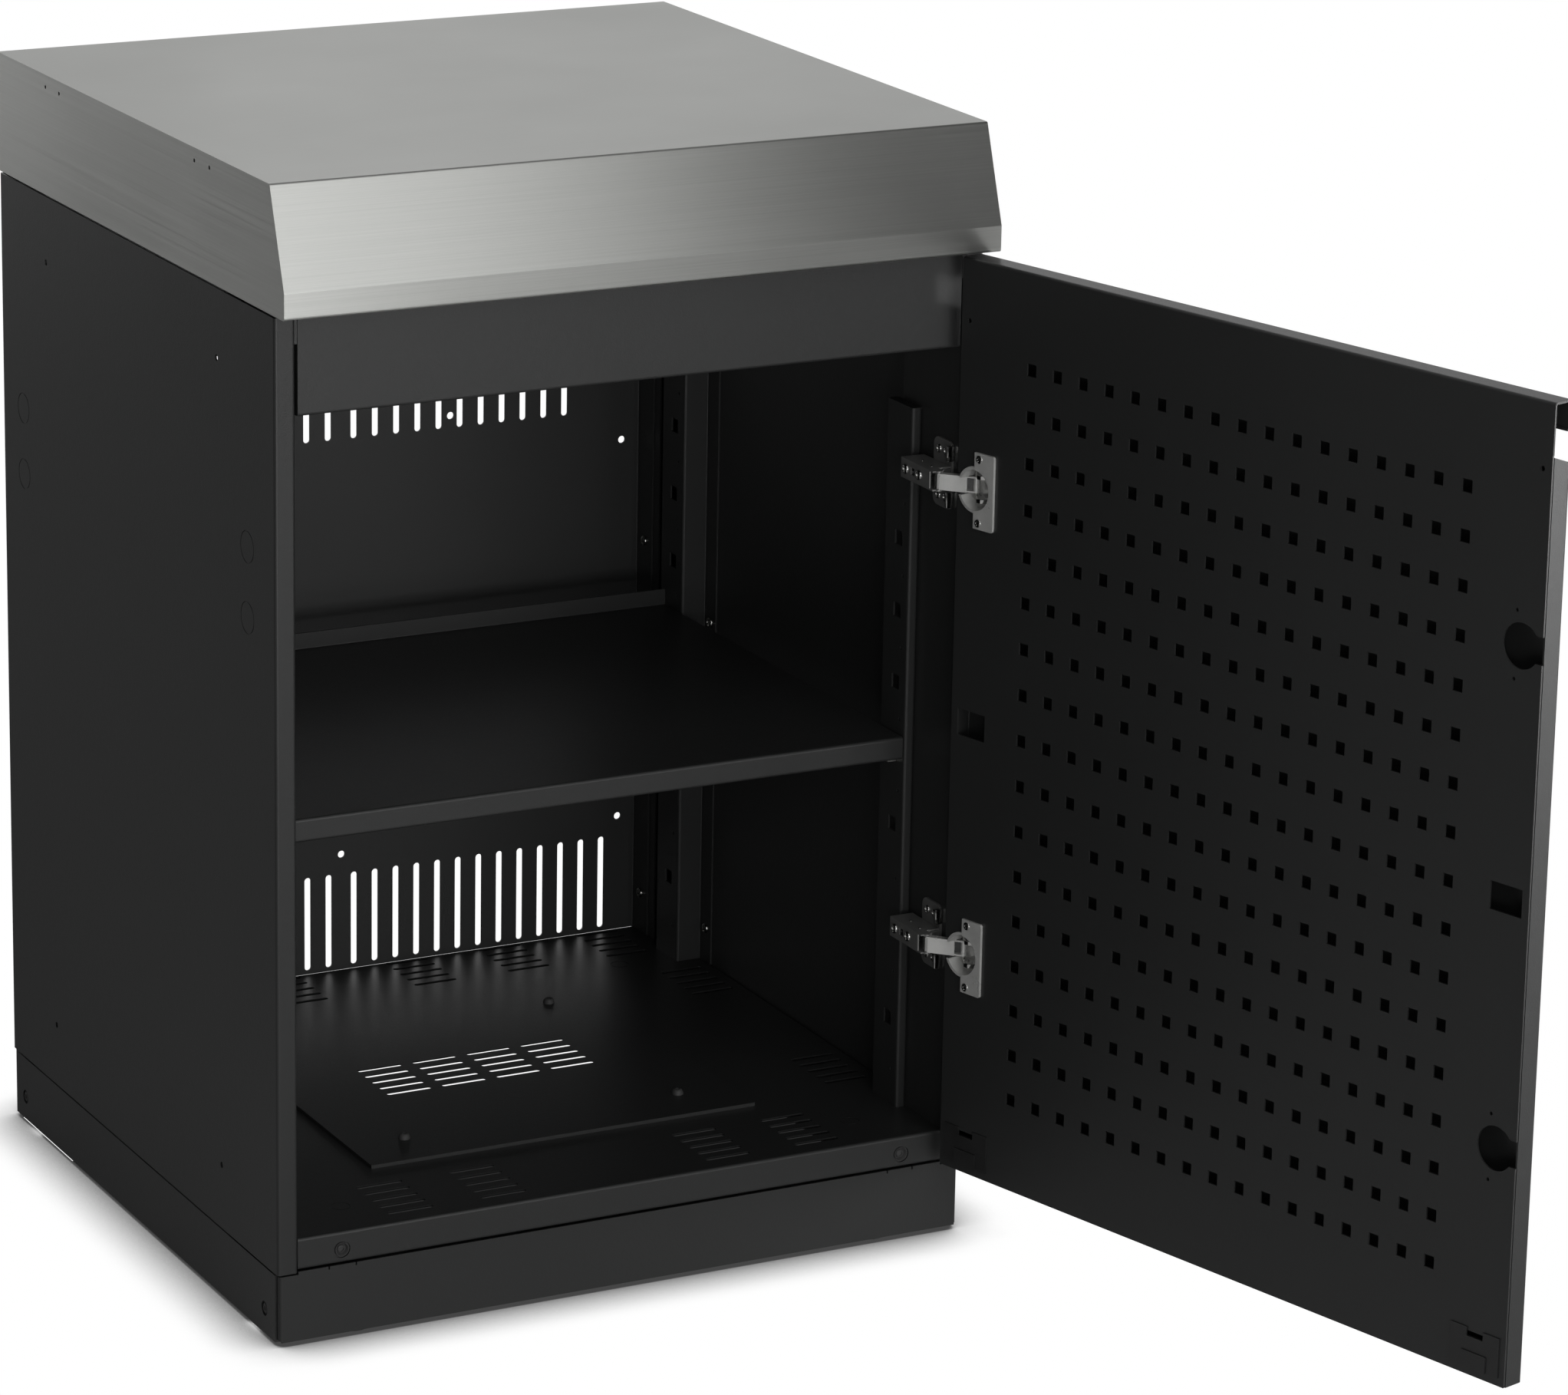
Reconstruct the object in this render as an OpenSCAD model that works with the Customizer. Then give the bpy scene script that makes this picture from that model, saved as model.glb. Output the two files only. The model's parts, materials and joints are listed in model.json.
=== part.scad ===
// Outdoor kitchen base cabinet with one hinged door, a shelf and a steel worktop.
// Millimetres. X is right, Y is back, Z is up. The origin is on the floor, midway between the feet.

/* [Cabinet] */
// Outside width over the two side panels
body_w = 606; // [500:1:800]
// Depth of the side panels
body_d = 576; // [450:1:700]
// Sheet thickness of the panels
sheet = 1.5; // [1:0.1:2.5]
// Height of the plinth's lower edge above the floor
foot_lift = 4; // [2:1:12]
// Height of the plinth band
plinth_h = 55; // [40:1:120]
// Step of the plinth's front edge between the posts
plinth_step = 2.5; // [1:0.5:4]
// Height of the side panels
side_h = 764; // [600:1:900]
// Inside radius of the folds
fold_r = 0.8; // [0.3:0.1:2]
// Width of the front posts
post_w = 17; // [14:1:30]
// Depth of the front posts
post_d = 95; // [60:1:120]
// Gap behind the front posts' inner edges
post_gap = 0.5; // [0.3:0.1:2]
// Depth of the rear posts
rear_d = 46; // [35:1:60]
// Gap of the seams that show between plinth and panels
seam = 1.5; // [0.5:0.1:3]
// Height of the floor above the plinth
lip_h = 30; // [20:1:40]
// Height of the fascia rail
fascia_h = 76; // [50:1:120]
// Gap between the fascia rail and the posts
rail_gap = 2; // [0.5:0.1:4]
// Height of the posts' tabs that hold the rail
rail_tab = 20; // [10:1:40]

/* [Joining holes] */
// Radius of the holes for joining cabinets side by side
join_r = 2.6; // [2:0.1:5]
// First hole behind the front
join_y = 112.5; // [100:0.5:150]
// Spacing front to back
join_dy = 360; // [250:1:400]
// Height of the lower holes
join_z = 114; // [100:0.5:200]
// Spacing up
join_dz = 656; // [400:1:660]

/* [Worktop] */
// Overhang of the worktop past each side
top_side = 2; // [0:0.5:10]
// Width of the worktop's inner brackets
bracket_w = 62; // [40:1:100]
// Overhang of the worktop past the front
top_front = 24; // [10:1:40]
// Distance of the stiffeners under the worktop from the sides
stiff_x = 150; // [120:1:180]
// Width of the stiffeners
stiff_w = 60; // [50:1:80]
// Height of the stiffeners
stiff_h = 20; // [15:1:30]
// Slope of the front band, from upright
slope_a = 19; // [10:0.5:35]
// Overall height of the worktop shell
top_h = 99; // [60:1:140]
// Height of the upright band under the slope
top_lip = 21; // [10:1:40]
// Gap between side panel and worktop
top_gap = 3; // [1:0.5:6]

/* [Inside] */
// Face of the back panel, in from the rear edge
back_y = 7; // [3:1:20]
// Depth of the shelf uprights
up_d = 40; // [30:1:60]
// Height of the top of the uprights
up_z1 = 684; // [600:1:740]
// Inner face of the uprights, from the side
up_x = 26; // [22:1:40]
// Distance of the floor's tray plate from the sides
tray_x = 130; // [120:1:150]
// Distance of the tray plate from the front
tray_y = 114; // [104:1:120]
// Height of the tray plate's top over the floor
tray_t = 3; // [2:0.5:6]
// Sheet thickness of the tray plate
tray_sheet = 1; // [0.8:0.1:1.5]
// Radius of the small screws
screw_r = 2; // [1.5:0.1:2.5]
// Front face of the front uprights
up_front_y = 62; // [50:1:90]
// Front face of the rear uprights, in from the rear edge
up_rear_y = 110; // [95:1:150]
// Side of the square shelf holes
square = 12; // [8:1:16]
// Height of the first hole of the shelf row
square_z0 = 330.5; // [250:0.5:400]
// Pitch of the shelf holes
square_pitch = 60.5; // [40:0.5:64]
// Shelf hole that carries the shelf, counted from the lowest
shelf_hole = 1; // [0:1:4]
// Height of the clips' seats over their holes' lower edges
clip_h = 12.4; // [10.5:0.1:20]
// Play of the shelf over its clips and beside the uprights
shelf_play = 0.4; // [0.3:0.1:2]
// Height of the shelf's front lip
shelf_lip = 19; // [12:1:30]
// Depth of the return under the shelf's front lip
shelf_hem = 10; // [6:1:20]
// Height of the shelf's rear upstand
shelf_up = 14; // [8:1:30]

/* [Vents] */
// Height of the upper row of slots
slot_z1 = 568; // [450:1:600]
// Lower slots on each side of the middle
slots_low = 13; // [4:1:13]
// Upper slots on each side of the middle
slots_high = 11; // [4:1:13]
// Pitch of the back panel's slots
slot_pitch = 20; // [12:0.5:21]
// Width of the back panel's slots
slot_w = 6; // [3:0.5:10]
// Length of the back panel's slots
slot_l = 85; // [40:1:120]
// Length of the floor slots
vent_l = 40; // [20:1:60]
// Width of the floor slots
vent_w = 5; // [2:0.5:6]
// Slots in each group of the floor
vent_n = 5; // [2:1:5]
// Pitch of the floor slots
vent_pitch = 15; // [8:0.5:15.5]

/* [Door] */
// Width of the door
door_w = 608; // [500:1:800]
// Thickness of the door
door_t = 20; // [16:1:30]
// Height of the door's lower edge over the plinth band
door_low = 8; // [5:0.5:30]
// Gap between the door's upper edge and the worktop
door_top = 3; // [2:0.5:12]
// Outer skin's upper edge, below the door's upper edge
skin_drop = 47; // [40:1:80]
// Depth of the hooked grip lip
grip_lip = 23; // [15:1:30]
// Gap between closed door and cabinet
door_gap = 3; // [2:0.5:6]
// Distance of the corner plates from the door's edges
corner_s = 6; // [4:0.5:12]
// Width of the corner plates
corner_w = 48; // [40:1:60]
// Height of the corner plates
corner_h = 31.5; // [26:0.5:40]
// Width of the cut-outs under the corner plates
corner_cut = 20; // [18:1:24]
// Perforation: holes in each row and column
perf_n = 17; // [5:1:24]
// Perforation: pitch across
perf_px = 28.1; // [20:0.1:40]
// Perforation: pitch down
perf_pz = 37.7; // [20:0.1:40]
// Perforation: side of the square holes
perf_s = 10; // [5:0.5:16]
// Width of the cut-outs halfway up the door's edges
grip_w = 31; // [20:1:34]
// Height of the cut-outs halfway up the door's edges
grip_h = 22; // [10:1:40]
// Angle of the open door from closed
door_open = 104.85; // [90:0.05:110]

/* [Hinges] */
// Distance of the hinges from the door's upper and lower edges
hinge_end = 185; // [130:1:260]
// Arm pivot, in from the right side
pivot_x = 34; // [30:0.5:36]
// Arm pivot, behind the front
pivot_y = 2.3; // [-10:0.1:20]
// Cup pivot, from the door's edge
cup_s = 9; // [6:0.5:20]
// Cup pivot, below the door's inner face
cup_n = 12.3; // [5:0.1:13]
// Swing of the link between open and closed
link_swing = 12.2; // [0:0.1:30]
// Radius of the hinge cup
cup_r = 17.5; // [13:0.5:20]
// Centre of the hinge cup, from the door's edge
cup_c = 20.5; // [18:0.5:30]
// Half height of the cup's slot for the link
cup_slot = 7.2; // [7:0.1:9]
// Half height of the notch in the door's edge
cup_notch = 10.5; // [8:0.1:14]
// Half length of the pins in the cups
cup_pin_h = 12.4; // [12:0.1:13]
// Width of the cup's flange plate
flange_w = 22; // [16:0.5:28]
// Radius of the cup's flange screws
cup_screw_r = 1.5; // [1:0.1:2]
// Spacing of the cup's flange screws
cup_screws = 52; // [48:0.5:56]
// Height of the mounting plates
plate_h = 56; // [50:1:64]
// Thickness of the mounting plates
plate_t = 2; // [1.5:0.1:3]
// Left face of the arms, in from the right side
arm_x = 39.7; // [39:0.1:44]
// Radius of the hinge pins
pin_r = 1.25; // [1:0.05:2]
// Radial clearance of the link on its pins
pin_gap = 0.08; // [0.03:0.01:0.1]
// Outside half height of the hinge arm
arm_h = 8.2; // [6:0.1:12]
// Radius of the arm's and the link's eyes
eye_r = 3; // [2:0.1:5]

/* [Feet] */
// Radius of the foot disc
foot_r = 15; // [10:1:20]
// Thickness of the foot disc
foot_t = 7; // [4:0.5:15]
// Radius of the foot's stud
stud_r = 4; // [3:0.5:6]
// Clearance of the stud in its bush
stud_gap = 0.08; // [0.02:0.01:0.1]
// Distance of the front feet from the side
foot_x = 72; // [40:1:120]
// Distance of the feet from front and back
foot_y = 21; // [18:1:60]

/* [Hidden] */
$fn = 40;

// Heights and places that follow from the sizes above
rear_y = body_d - rear_d;
back_at = body_d - back_y;
up_rear = body_d - up_rear_y;
pivot_at = body_w - pivot_x;
arm_at = body_w - arm_x;
rail_x0 = post_w + rail_gap;
plinth_z1 = foot_lift + plinth_h;
side_z0 = plinth_z1 + seam;
side_z1 = side_z0 + side_h;
floor_z = plinth_z1 + lip_h;
tray_z = floor_z + tray_t;
top_z0 = side_z1 + top_gap;
top_z1 = top_z0 + top_h;
top_in = top_z1 - sheet;
rail_z1 = side_z1 - 1;
rail_z0 = rail_z1 - fascia_h;
back_edge = back_at + sheet;
post_in = body_w - post_w;
clip_z = square_z0 + shelf_hole * square_pitch - square / 2;
shelf_z = clip_z + clip_h + shelf_play + shelf_lip - 8;
door_edge_x = body_w + 1;
door_z0 = plinth_z1 + door_low;
door_z1 = top_z0 - door_top;
door_mid = (door_z0 + door_z1) / 2;
skin_z1 = door_z1 - skin_drop;
perf_z = door_mid - (perf_n - 1) / 2 * perf_pz;
hinge_z0 = door_z0 + hinge_end;
hinge_z1 = door_z1 - hinge_end;
hinge_zs = [hinge_z0, hinge_z1];
cup_screw_zs = [-cup_screws / 2, cup_screws / 2];
foot_z = foot_lift + 6;
plinth_inset = 6;
plinth_screw_ys = [27, body_d - 27];
tray_ys = [tray_y + 45, body_d - tray_y - 55];
vents_y = body_d / 2 - 32;
lip_screw_x = 54.5;
lip_screw_z = floor_z - 15;
bracket_ys = [100, body_d - 100 - bracket_w];
plate_screw_ys = [17, 29];
plate_screw_z = plate_h / 2 - 9;
arm_screw_ys = [24, 46];
tray_xs = [tray_x + 49, body_w - tray_x - 49];
tray_rear = body_d - tray_y - 10;
knock_r = 8;
knock_w = 0.7;
back_screw_zs = [125, 451, 720];
upright_screw_zs = [120, 400, 660];
lip_z0 = plinth_z1 + plinth_step + seam;
cup_rim = cup_r + 1.5;
cup_screw_s = cup_c + 5.5;
cup_depth = 16;
link_h = arm_h - 1.6;

// Hinge geometry from above: the closed link, the open link and the open door's corner.
closed_dx = door_edge_x - cup_s - pivot_at;
closed_dy = -door_gap - cup_n - pivot_y;
link_l = sqrt(closed_dx * closed_dx + closed_dy * closed_dy);
link_a = atan2(closed_dy, closed_dx) - link_swing;
door_a = door_open - 180;
cup_x = pivot_at + link_l * cos(link_a);
cup_y = pivot_y + link_l * sin(link_a);
door_x = cup_x - cup_s * cos(door_a) + cup_n * sin(door_a);
door_y = cup_y - cup_s * sin(door_a) - cup_n * cos(door_a);

// Colours
powder = [0.16, 0.17, 0.17];
steel = [0.62, 0.62, 0.60];
nickel = [0.45, 0.45, 0.43];
black = [0.08, 0.08, 0.08];

// Outline of a folded sheet. The path is one face of the sheet, the other face lies a thickness
// to its left, and both are rounded about one centre at each fold.
fold_n = 4;
function unit(v) = v / norm(v);
function to_left(v) = [-v[1], v[0]];
function fold_arc(p, q, w, grow) =
  let (
    u = unit(q - p),
    v = unit(w - q),
    side = sign(u[0] * v[1] - u[1] * v[0]),
    turn = acos(u * v),
    path_r = side > 0 ? fold_r + sheet : fold_r,
    arc_r = path_r - side * grow,
    centre = q - u * path_r * tan(turn / 2) + to_left(u) * path_r * side,
    start = -side * to_left(u),
    a = atan2(start[1], start[0])
  )
  [for (i = [0:fold_n]) centre + arc_r * [cos(a + side * turn * i / fold_n), sin(a + side * turn * i / fold_n)]];
function face(pts, grow) =
  let (n = len(pts) - 1) [
    pts[0] + grow * to_left(unit(pts[1] - pts[0])),
    for (i = [1:n - 1]) each fold_arc(pts[i - 1], pts[i], pts[i + 1], grow),
    pts[n] + grow * to_left(unit(pts[n] - pts[n - 1]))
  ];
function backwards(pts) = [for (i = [len(pts) - 1:-1:0]) pts[i]];

// A sheet folded along a path in plan, standing between two heights.
module folded_up(pts, z0, z1) {
  translate([0, 0, z0]) linear_extrude(height = z1 - z0) polygon(concat(face(pts, 0), backwards(face(pts, sheet))));
}

// A sheet folded along a path of (Y, Z) points, running between two places along X.
module folded_across(pts, x0, x1) translate([x0, 0, 0]) rotate([90, 0, 90]) folded_up(pts, 0, x1 - x0);

// A sheet folded along a path of (X, Z) points, running between two places along Y.
module folded_back(pts, y0, y1) translate([0, y1, 0]) rotate([90, 0, 0]) folded_up(pts, 0, y1 - y0);

// Measures below run from the cabinet's front left corner; this puts them round the origin.
module from_corner() translate([-body_w / 2, -body_d / 2, 0]) children();

// A block from one corner to the other.
module blk(a, b) translate(a) cube([b[0] - a[0], b[1] - a[1], b[2] - a[2]]);

// The right-hand copy of a left-hand shape.
module right_side() translate([body_w, 0, 0]) mirror([1, 0, 0]) children();

// A copy on the left and one on the right of the cabinet.
module both_sides() {
  children();
  right_side() children();
}

// Door frame: X along the door from its hinged edge, Y towards the outer face.
module door_frame() from_corner() translate([door_x, door_y, 0]) rotate([0, 0, door_a]) children();

// A copy at the door's hinged edge and its mirror image at the free edge.
module both_edges() {
  children();
  translate([door_w, 0, 0]) mirror([1, 0, 0]) children();
}

// Link frame: X from the arm pivot to the cup pivot.
module link_frame(z) from_corner() translate([pivot_at, pivot_y, z]) rotate([0, 0, link_a]) children();

// Round bars and holes along X, towards the left or the right, and along Y.
module along_x() rotate([0, 90, 0]) children();
module against_x() rotate([0, -90, 0]) children();
module along_y() rotate([-90, 0, 0]) children();
module against_y() rotate([90, 0, 0]) children();

// A screw with a domed head and a hexagon socket: shank along +Z, head below Z = 0.
module pan_screw(r, l, hr, hh) {
  cylinder(r = r, h = l);
  difference() {
    rotate_extrude() polygon([[0, 0], [0, -hh], [hr * 0.55, -hh], [hr * 0.9, -hh * 0.6], [hr, 0]]);
    translate([0, 0, -hh * 1.1]) cylinder(r = hr * 0.35, h = hh * 0.6, $fn = 6);
  }
}

// A flat plate in the XY plane with round corners.
module round_plate(w, l, r, t) {
  translate([-w / 2 + r, -l / 2, 0]) cube([w - 2 * r, l, t]);
  translate([-w / 2, -l / 2 + r, 0]) cube([w, l - 2 * r, t]);
  for (x = [-w / 2 + r, w / 2 - r], y = [-l / 2 + r, l / 2 - r]) {
    translate([x, y, 0]) cylinder(r = r, h = t);
  }
}

// Round-ended slots side by side, each along X, from one corner of the group.
module vent_group(x, y) {
  for (i = [0:vent_n - 1]) translate([x, y + i * vent_pitch, floor_z - 2 * sheet]) {
    h = tray_t + 4 * sheet;
    translate([vent_w / 2, 0, 0]) cube([vent_l - vent_w, vent_w, h]);
    for (d = [vent_w / 2, vent_l - vent_w / 2]) {
      translate([d, vent_w / 2, 0]) cylinder(r = vent_w / 2, h = h, $fn = 16);
    }
  }
}

// The four groups of slots in the tray.
module middle_vents() {
  for (i = [0:3]) vent_group(body_w / 2 - 95 + i * 50, vents_y);
}

// Holes for the tray's screws through the floor and the tray.
module tray_holes() {
  for (x = tray_xs, y = tray_ys) {
    translate([x, y, floor_z - 2 * sheet]) cylinder(r = screw_r + 0.1, h = tray_t + 4 * sheet);
  }
}

// Holes for the screws of the back panel, through a rear post and the panel's flange.
module back_screw_holes() {
  for (z = back_screw_zs) {
    translate([post_w - 2 * sheet, back_at - 14, z]) along_x() cylinder(r = screw_r + 0.1, h = 4 * sheet);
  }
}

// Left side panel: one sheet folded into a front post and an open rear post.
module side_shape() {
  difference() {
    union() {
      folded_up([
        [post_w, rear_y], [post_w, body_d], [0, body_d], [0, 0],
        [post_w, 0], [post_w, post_d], [sheet + post_gap, post_d]
      ], side_z0, side_z1);
      blk([post_w - sheet / 2, sheet, rail_z1 - rail_tab], [rail_x0, 24, side_z1 - 2]);
      blk([post_w - sheet / 2, 0, rail_z1 - rail_tab], [rail_x0 - 0.4, 2 * sheet, side_z1 - 2]);
    }
    for (y = [join_y, join_y + join_dy], z = [join_z, join_z + join_dz]) {
      translate([-sheet, y, z]) along_x() cylinder(r = join_r, h = 3 * sheet);
    }
    for (p = [[54, 579], [54, 635], [body_d - 47, 579], [body_d - 47, 635]]) {
      translate([sheet * 0.3, p[0], p[1]]) against_x() difference() {
        cylinder(r = 13, h = sheet);
        cylinder(r = 12.2, h = sheet);
      }
    }
    back_screw_holes();
  }
}

module side_panel_left() color(powder) from_corner() side_shape();
module side_panel_right() color(powder) from_corner() right_side() side_shape();

// One round-ended upright slot through the back panel.
module back_slot(x, z) {
  translate([x - slot_w / 2, back_at - sheet, z + slot_w / 2]) cube([slot_w, 3 * sheet, slot_l - slot_w]);
  for (h = [slot_w / 2, slot_l - slot_w / 2]) {
    translate([x, back_at - sheet, z + h]) along_y() cylinder(r = slot_w / 2, h = 3 * sheet, $fn = 20);
  }
}

// Back panel: forward flanges, two rows of upright slots and round cable holes.
module back_panel() color(powder) from_corner() difference() {
  hole_x = body_w / 2 - 35;
  folded_up([
    [post_in, back_at - 28], [post_in, back_edge], [post_w, back_edge], [post_w, back_at - 28]
  ], floor_z, rail_z1);
  for (s = [-1, 1], i = [0:slots_low - 1]) {
    back_slot(body_w / 2 + s * (12 + i * slot_pitch), floor_z + 3.5);
  }
  for (s = [-1, 1], i = [0:slots_high - 1]) {
    back_slot(body_w / 2 + s * (12 + i * slot_pitch), slot_z1);
  }
  for (p = [[0, 195], [hole_x, 195], [-hole_x, 195], [103, 579], [-103, 579], [hole_x, 541], [-hole_x, 541]]) {
    translate([body_w / 2 + p[0], back_at - sheet, p[1]]) along_y() cylinder(r = 3.25, h = 3 * sheet);
  }
  both_sides() back_screw_holes();
}

// Screws through the back panel's flanges into the rear posts.
module back_panel_screws() color(nickel) from_corner() both_sides() for (z = back_screw_zs) {
  translate([post_w + sheet, back_at - 14, z]) against_x() pan_screw(screw_r, 8, 4.5, 2);
}

// Fascia rail between the posts, with stiffening returns and end flanges.
module fascia_rail() color(powder) from_corner() {
  folded_across([[22, rail_z1], [0, rail_z1], [0, rail_z0], [12, rail_z0], [12, rail_z0 + 8]], rail_x0, body_w - rail_x0);
  both_sides() blk([rail_x0, sheet / 2, rail_z0 + fold_r], [rail_x0 + sheet, 22, rail_z1 - fold_r]);
}

// A ring pressed half through the floor sheet, round a knock-out.
module knock_out(x, y) translate([x, y, floor_z - sheet / 2]) difference() {
  cylinder(r = knock_r, h = sheet);
  translate([0, 0, -sheet]) cylinder(r = knock_r - knock_w, h = 3 * sheet);
}

// Floor pan with front lip, side and rear flanges, slots, knock-outs and an opening under the tray.
module floor_pan() color(powder) from_corner() difference() {
  union() {
    folded_across([
      [back_edge, plinth_z1], [back_edge, floor_z], [0, floor_z], [0, lip_z0], [12, lip_z0]
    ], post_w, post_in);
    folded_back([
      [body_w - sheet, plinth_z1], [body_w - sheet, floor_z], [sheet, floor_z], [sheet, plinth_z1]
    ], post_d, rear_y);
    both_sides() blk([post_w, rear_y, plinth_z1], [post_w + sheet, back_edge - sheet, floor_z - sheet / 2]);
  }
  both_sides() {
    for (x = [102, 183]) vent_group(x, 18);
    for (x = [36, 132, 222]) vent_group(x, body_d - 74);
    for (y = [136, body_d - 195]) vent_group(12, y);
    for (y = [50, body_d - 96]) knock_out(75, y);
  }
  translate([body_w / 2 - 100, vents_y - 3, floor_z - 2 * sheet]) cube([200, vent_n * vent_pitch + 1, 3 * sheet]);
  tray_holes();
  both_sides() translate([lip_screw_x, -sheet, lip_screw_z]) along_y() cylinder(r = 7, h = 3 * sheet);
}

// Raised tray plate over the middle of the floor, with its rim turned down.
module floor_tray() color(powder) from_corner() difference() {
  blk([tray_x, tray_y, floor_z], [body_w - tray_x, tray_rear, tray_z]);
  blk([tray_x + tray_sheet, tray_y + tray_sheet, floor_z - 1],
      [body_w - tray_x - tray_sheet, tray_rear - tray_sheet, tray_z - tray_sheet]);
  middle_vents();
  tray_holes();
}

// Four domed screws that hold the tray.
module tray_screws() color(black) from_corner() for (x = tray_xs, y = tray_ys) {
  translate([x, y, tray_z]) mirror([0, 0, 1]) pan_screw(screw_r, 10, 6, 6.5);
}

// Front or rear plinth: band with end returns, inner flanges and bushes for two feet.
module plinth_end() {
  inner = plinth_z1 - sheet;
  folded_up([[sheet, 60], [sheet, 0], [body_w - sheet, 0], [body_w - sheet, 60]], foot_lift + sheet, plinth_z1);
  blk([2 * sheet, 0, foot_lift], [body_w - 2 * sheet, sheet, foot_lift + 2 * sheet]);
  blk([2 * sheet - 0.2, sheet / 2, foot_z], [body_w - 2 * sheet + 0.2, 42, foot_z + sheet]);
  blk([2 * sheet - 0.2, sheet / 2, inner], [body_w - 2 * sheet + 0.2, 12, plinth_z1]);
  for (x = [foot_x, body_w - foot_x]) translate([x, foot_y, foot_z]) cylinder(r = stud_r + 3, h = 10);
}

// Holes through the plinth ends: bores for the feet and screw recesses.
module plinth_holes() {
  for (x = [foot_x, body_w - foot_x], y = [foot_y, body_d - foot_y]) {
    translate([x, y, foot_lift]) cylinder(r = stud_r + stud_gap, h = plinth_h / 2);
  }
  both_sides() for (y = plinth_screw_ys) {
    translate([sheet, y, 24]) along_x() cylinder(r = 2.6, h = 3 * sheet);
  }
}

// Front plinth, with an edge raised between the posts and cut by relief slits.
module plinth() color(powder) from_corner() difference() {
  union() {
    plinth_end();
    blk([post_w + 0.5, 0, plinth_z1 - sheet], [post_in - 0.5, sheet, plinth_z1 + plinth_step]);
  }
  both_sides() for (x = [43, 66]) {
    blk([x, -sheet, plinth_z1 + plinth_step - 2.5], [x + 1.2, 2 * sheet, plinth_z1 + plinth_step + 1]);
  }
  plinth_holes();
}

// Rear plinth.
module plinth_back() color(powder) from_corner() difference() {
  translate([0, body_d, 0]) mirror([0, 1, 0]) plinth_end();
  plinth_holes();
}

// Left plinth side: channel outside the returns of the front and rear plinths.
module plinth_side() difference() {
  union() {
    blk([0, plinth_inset, foot_lift], [sheet, body_d - plinth_inset, plinth_z1]);
    folded_back([[12, plinth_z1], [0, plinth_z1], [0, foot_lift], [12, foot_lift]], 61, body_d - 61);
  }
  for (y = plinth_screw_ys) {
    translate([-sheet, y, 24]) along_x() cylinder(r = 6, h = 3 * sheet);
  }
}

module plinth_side_left() color(powder) from_corner() plinth_side();
module plinth_side_right() color(powder) from_corner() right_side() plinth_side();

// Screws in the side recesses of the plinth, into the returns of its front and rear.
module plinth_screws() color(nickel) from_corner() both_sides() for (y = plinth_screw_ys) {
  translate([sheet, y, 24]) along_x() pan_screw(2.5, 10, 4.5, 1.4);
}

// Cupped washers and screws in the round recesses of the floor's lip.
module lip_screws() color(nickel) from_corner() both_sides() {
  translate([lip_screw_x, sheet, lip_screw_z]) along_y() {
    pan_screw(2.5, 9, 4.5, 1.8);
    cylinder(r = 8.5, h = 1.5);
  }
}

// Levelling foot: disc, hexagon and stud.
module foot_at(x, y) color(black) from_corner() translate([x, y, 0]) {
  rotate_extrude() polygon([[0, 0], [foot_r - 1, 0], [foot_r, 1], [foot_r, foot_t - 1.5], [foot_r - 2, foot_t], [0, foot_t]]);
  translate([0, 0, foot_t - 1]) cylinder(r = stud_r, h = 33);
}

module foot_front_left() foot_at(foot_x, foot_y);
module foot_front_right() foot_at(body_w - foot_x, foot_y);
module foot_rear_left() foot_at(foot_x, body_d - foot_y);
module foot_rear_right() foot_at(body_w - foot_x, body_d - foot_y);

// Left upright from a path in plan: web with square and round holes, and a cap.
module upright(y, path, wall_x) difference() {
  hole_y = y + up_d * 0.45;
  union() {
    folded_up(path, floor_z, up_z1);
    blk([wall_x, y + sheet / 2, up_z1 - sheet], [up_x - sheet / 2, y + up_d, up_z1]);
  }
  for (z = concat([163], [for (i = [0:4]) square_z0 + i * square_pitch])) {
    blk([up_x - 2 * sheet, hole_y - square / 2, z - square / 2], [up_x + sheet, hole_y + square / 2, z + square / 2]);
  }
  for (z = concat([120, 205, 245, 285], [for (i = [0:4]) square_z0 + (i + 0.5) * square_pitch])) {
    translate([up_x - 2 * sheet, hole_y - 8, z]) along_x() cylinder(r = 1.6, h = 3 * sheet, $fn = 16);
  }
  for (z = upright_screw_zs) {
    translate([wall_x - sheet, y - 10, z]) along_x() cylinder(r = screw_r + 0.1, h = 3 * sheet);
  }
}

// Front upright: a channel on the post. Rear upright: a step from the side panel.
module upright_front() {
  y = up_front_y;
  upright(y, [[post_w, y + up_d], [post_w, y], [up_x, y], [up_x, y + up_d]], post_w);
}
module upright_rear() {
  y = up_rear;
  upright(y, [[2 * sheet, y - 20], [2 * sheet, y], [up_x, y], [up_x, y + up_d]], sheet);
}

module upright_front_left() color(powder) from_corner() upright_front();
module upright_front_right() color(powder) from_corner() right_side() upright_front();
module upright_rear_left() color(powder) from_corner() upright_rear();
module upright_rear_right() color(powder) from_corner() right_side() upright_rear();

// Screws through the wall flanges of the rear uprights.
module upright_screws() color(nickel) from_corner() both_sides() for (z = upright_screw_zs) {
  translate([2 * sheet, up_rear - 10, z]) against_x() pan_screw(screw_r, sheet, 4.5, 2);
}

// Shelf with a hemmed front lip, folded sides and a rear upstand.
module shelf() color(powder) from_corner() {
  x0 = up_x + 1;
  y0 = up_front_y + 1;
  y1 = up_rear + 30;
  lip_z = shelf_z - shelf_lip;
  folded_across([[y1, shelf_z + shelf_up], [y1, shelf_z], [y0, shelf_z], [y0, lip_z], [y0 + shelf_hem, lip_z]], x0, body_w - x0);
  both_sides() blk([x0, y0 + sheet, lip_z + 8], [x0 + sheet, y1 - 4, shelf_z - sheet / 2]);
}

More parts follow.
